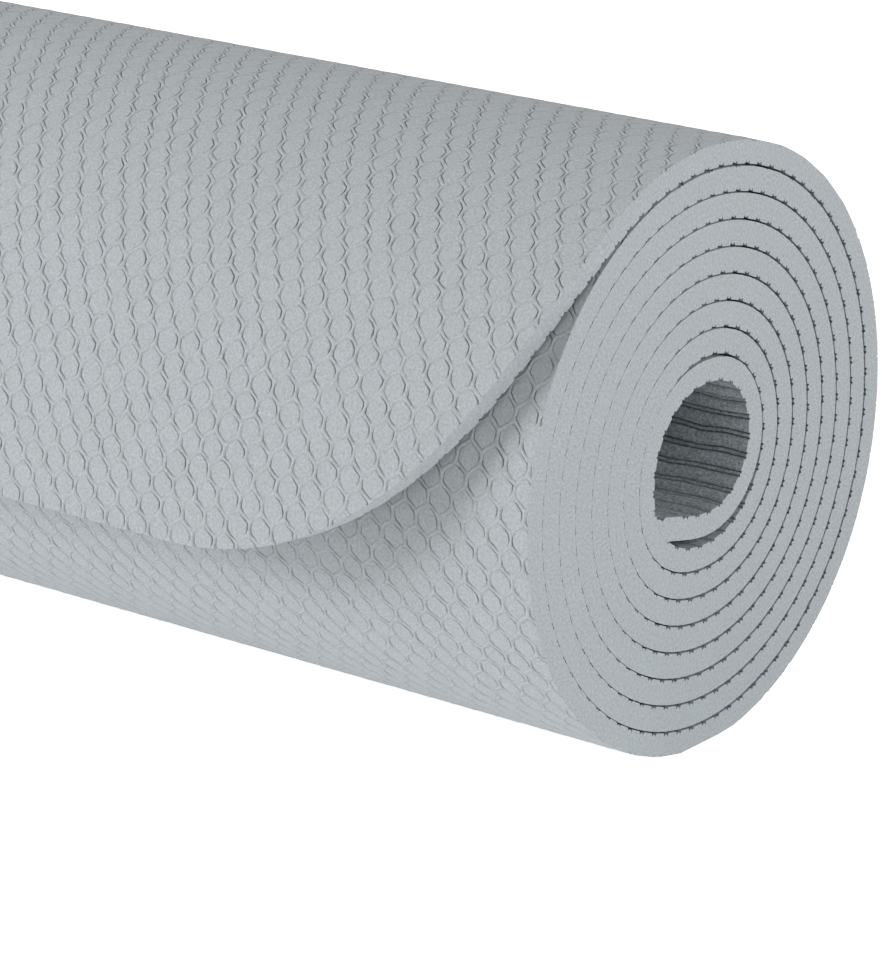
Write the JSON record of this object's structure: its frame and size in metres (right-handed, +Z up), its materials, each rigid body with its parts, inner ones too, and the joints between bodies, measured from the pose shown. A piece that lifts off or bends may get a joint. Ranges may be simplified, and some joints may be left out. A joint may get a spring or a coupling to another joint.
{
  "type": "yoga mat",
  "caption": "Rolled foam yoga mat lying on its side, with a hexagon-embossed face, rounded corners at its loose end and a last turn that opens out flat.",
  "frame": {"origin": "centre of the part's box at floor level, under the roll", "axes": "+X along the roll's axis towards the end the picture shows, +Z up, -Y towards the front, where the loose end lies"},
  "size_m": [0.61, 0.1112, 0.1051],
  "materials": {
    "foam": "matte closed-cell foam, embossed"
  },
  "bodies": {
    "roll": {"rolled_turns": "foam"},
    "outer_turn_1": {"outer_turn_1": "foam"},
    "outer_turn_2": {"outer_turn_2": "foam"},
    "outer_turn_3": {"outer_turn_3": "foam"},
    "outer_turn_4": {"outer_turn_4": "foam"},
    "outer_turn_5": {"outer_turn_5": "foam"},
    "outer_turn_6": {"outer_turn_6": "foam"},
    "loose_end": {"loose_end": "foam"}
  },
  "joints": [
    {"name": "unroll", "type": "hinge", "parent": "roll", "child": "outer_turn_1", "pos_m": [0, 0.0197, 0.00206], "axis": [-1, 0, 0], "range_deg": [0, 37.6]},
    {"name": "straighten_2", "type": "hinge", "parent": "outer_turn_1", "child": "outer_turn_2", "pos_m": [0, 0.04722, 0.02332], "axis": [-1, 0, 0], "range_deg": [0, 38.9]},
    {"name": "straighten_3", "type": "hinge", "parent": "outer_turn_2", "child": "outer_turn_3", "pos_m": [0, 0.05528, 0.05716], "axis": [-1, 0, 0], "range_deg": [0, 37.3]},
    {"name": "straighten_4", "type": "hinge", "parent": "outer_turn_3", "child": "outer_turn_4", "pos_m": [0, 0.04122, 0.08899], "axis": [-1, 0, 0], "range_deg": [0, 39.4]},
    {"name": "straighten_5", "type": "hinge", "parent": "outer_turn_4", "child": "outer_turn_5", "pos_m": [0, 0.01013, 0.10466], "axis": [-1, 0, 0], "range_deg": [0, 38.5]},
    {"name": "straighten_6", "type": "hinge", "parent": "outer_turn_5", "child": "outer_turn_6", "pos_m": [0, -0.02396, 0.09757], "axis": [-1, 0, 0], "range_deg": [0, 37.1]},
    {"name": "straighten_loose_end", "type": "hinge", "parent": "outer_turn_6", "child": "loose_end", "pos_m": [0, -0.04684, 0.07139], "axis": [-1, 0, 0], "range_deg": [0, 26.6]}
  ],
  "couplings": [
    {"joint": "straighten_2", "follows": "unroll", "ratio": 1.0323},
    {"joint": "straighten_3", "follows": "unroll", "ratio": 0.9883},
    {"joint": "straighten_4", "follows": "unroll", "ratio": 1.0457},
    {"joint": "straighten_5", "follows": "unroll", "ratio": 1.0214},
    {"joint": "straighten_6", "follows": "unroll", "ratio": 0.9845},
    {"joint": "straighten_loose_end", "follows": "unroll", "ratio": 0.7048}
  ]
}
